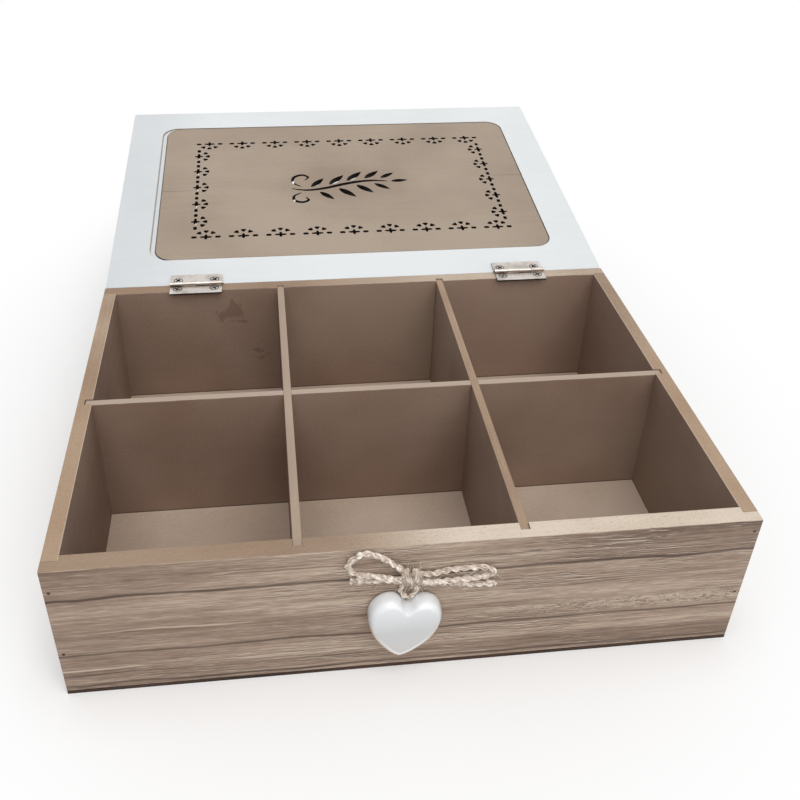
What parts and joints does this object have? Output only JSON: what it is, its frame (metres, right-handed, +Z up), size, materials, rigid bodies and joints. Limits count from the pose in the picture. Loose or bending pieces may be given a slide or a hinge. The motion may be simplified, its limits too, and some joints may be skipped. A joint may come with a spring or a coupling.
{
  "type": "tea bag organizer box",
  "caption": "Shallow wooden tea box with six square compartments, a hinged framed lid with a pierced panel, and a glazed heart with a twine bow on the front.",
  "frame": {"origin": "centre of the base board's underside", "axes": "+X to the right across the width, +Y from the front panel to the hinged back, +Z up; the lid is open behind the box"},
  "size_m": [0.24, 0.3567, 0.0819],
  "materials": {
    "weathered_wood": "brushed, weathered grey-brown wash",
    "stained_wood": "matte grey-brown stain",
    "base_wood": "matte stain, dark edge",
    "divider_wood": "matte grey-brown stain",
    "white_paint": "satin white paint on a smooth board",
    "panel_wood": "matte tan stain, scorched cut edges",
    "hinge_metal": "satin nickel plate",
    "screw_metal": "satin nickel plate",
    "brad_steel": "dark, punched flush",
    "white_glaze": null,
    "jute": "loosely twisted jute fibre"
  },
  "bodies": {
    "box": {"front_panel": "weathered_wood", "back_panel": "stained_wood", "left_side_panel": "stained_wood", "right_side_panel": "stained_wood", "base_board": "base_wood", "left_divider": "divider_wood", "right_divider": "divider_wood", "cross_divider": "divider_wood", "corner_brads": "brad_steel", "base_brads": "brad_steel", "left_hinge_box_leaf": "hinge_metal", "left_hinge_pin": "hinge_metal", "left_hinge_box_screws": "screw_metal", "right_hinge_box_leaf": "hinge_metal", "right_hinge_pin": "hinge_metal", "right_hinge_box_screws": "screw_metal", "heart_ornament": "white_glaze", "twine_knot": "jute", "twine_loops": "jute", "twine_tails": "jute", "twine_hanger": "jute"},
    "lid": {"lid_frame": "white_paint", "lid_panel": "panel_wood", "left_hinge_lid_leaf": "hinge_metal", "left_hinge_lid_screws": "screw_metal", "right_hinge_lid_leaf": "hinge_metal", "right_hinge_lid_screws": "screw_metal"}
  },
  "joints": [
    {"name": "lid_hinge", "type": "hinge", "parent": "box", "child": "lid", "pos_m": [0, 0.0868, 0.0619], "axis": [1, 0, 0], "range_deg": [0, 173.8]}
  ]
}
